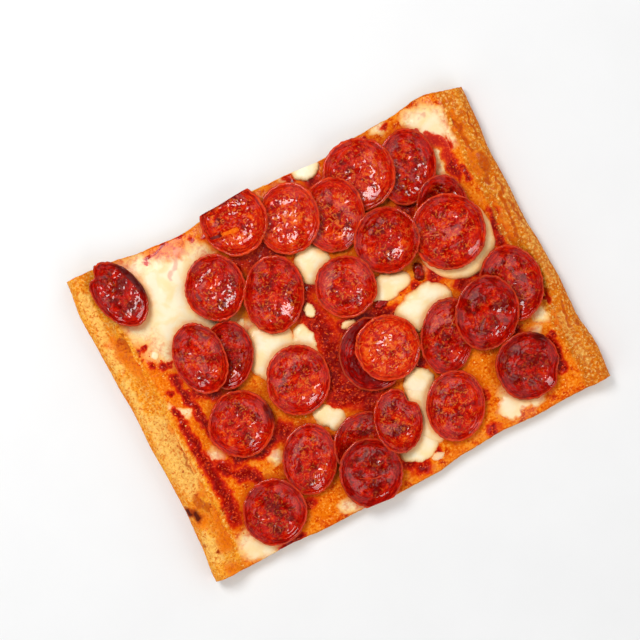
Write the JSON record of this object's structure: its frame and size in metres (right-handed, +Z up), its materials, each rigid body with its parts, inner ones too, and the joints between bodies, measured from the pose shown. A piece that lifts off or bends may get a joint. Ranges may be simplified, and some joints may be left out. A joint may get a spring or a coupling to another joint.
{
  "type": "roman pizza slice",
  "caption": "Rectangular slice of Roman-style pizza with raised crust rims at both ends, tomato sauce, melted mozzarella and overlapping cupped pepperoni.",
  "frame": {"origin": "centre of the slice's underside, on the surface that it lies on", "axes": "+X along the long side towards the narrower rim, +Y across the slice, +Z up"},
  "size_m": [0.2698, 0.2069, 0.0229],
  "materials": {
    "baked_crust": "golden baked dough with darker blisters, dry and slightly oily",
    "tomato_sauce": "cooked tomato sauce with toasted cheese oil, satin to glossy",
    "melted_mozzarella": "smooth melted cheese, cream with tan and orange edges, soft gloss",
    "pepperoni": "deep red cured sausage with orange fat flecks, wrinkled and greasy"
  },
  "bodies": {
    "root": {"crust": "baked_crust", "tomato_sauce": "tomato_sauce", "mozzarella_01": "melted_mozzarella", "mozzarella_02": "melted_mozzarella", "mozzarella_03": "melted_mozzarella", "mozzarella_04": "melted_mozzarella", "mozzarella_05": "melted_mozzarella", "mozzarella_06": "melted_mozzarella", "mozzarella_07": "melted_mozzarella", "mozzarella_08": "melted_mozzarella", "mozzarella_09": "melted_mozzarella", "mozzarella_10": "melted_mozzarella", "mozzarella_11": "melted_mozzarella", "mozzarella_12": "melted_mozzarella", "pepperoni_01": "pepperoni", "pepperoni_02": "pepperoni", "pepperoni_03": "pepperoni", "pepperoni_04": "pepperoni", "pepperoni_05": "pepperoni", "pepperoni_06": "pepperoni", "pepperoni_07": "pepperoni", "pepperoni_08": "pepperoni", "pepperoni_09": "pepperoni", "pepperoni_10": "pepperoni", "pepperoni_11": "pepperoni", "pepperoni_12": "pepperoni", "pepperoni_13": "pepperoni", "pepperoni_14": "pepperoni", "pepperoni_15": "pepperoni", "pepperoni_16": "pepperoni", "pepperoni_17": "pepperoni", "pepperoni_18": "pepperoni", "pepperoni_19": "pepperoni", "pepperoni_20": "pepperoni", "pepperoni_21": "pepperoni", "pepperoni_22": "pepperoni", "pepperoni_23": "pepperoni", "pepperoni_24": "pepperoni", "pepperoni_25": "pepperoni", "pepperoni_26": "pepperoni", "pepperoni_27": "pepperoni", "pepperoni_28": "pepperoni"}
  },
  "joints": []
}
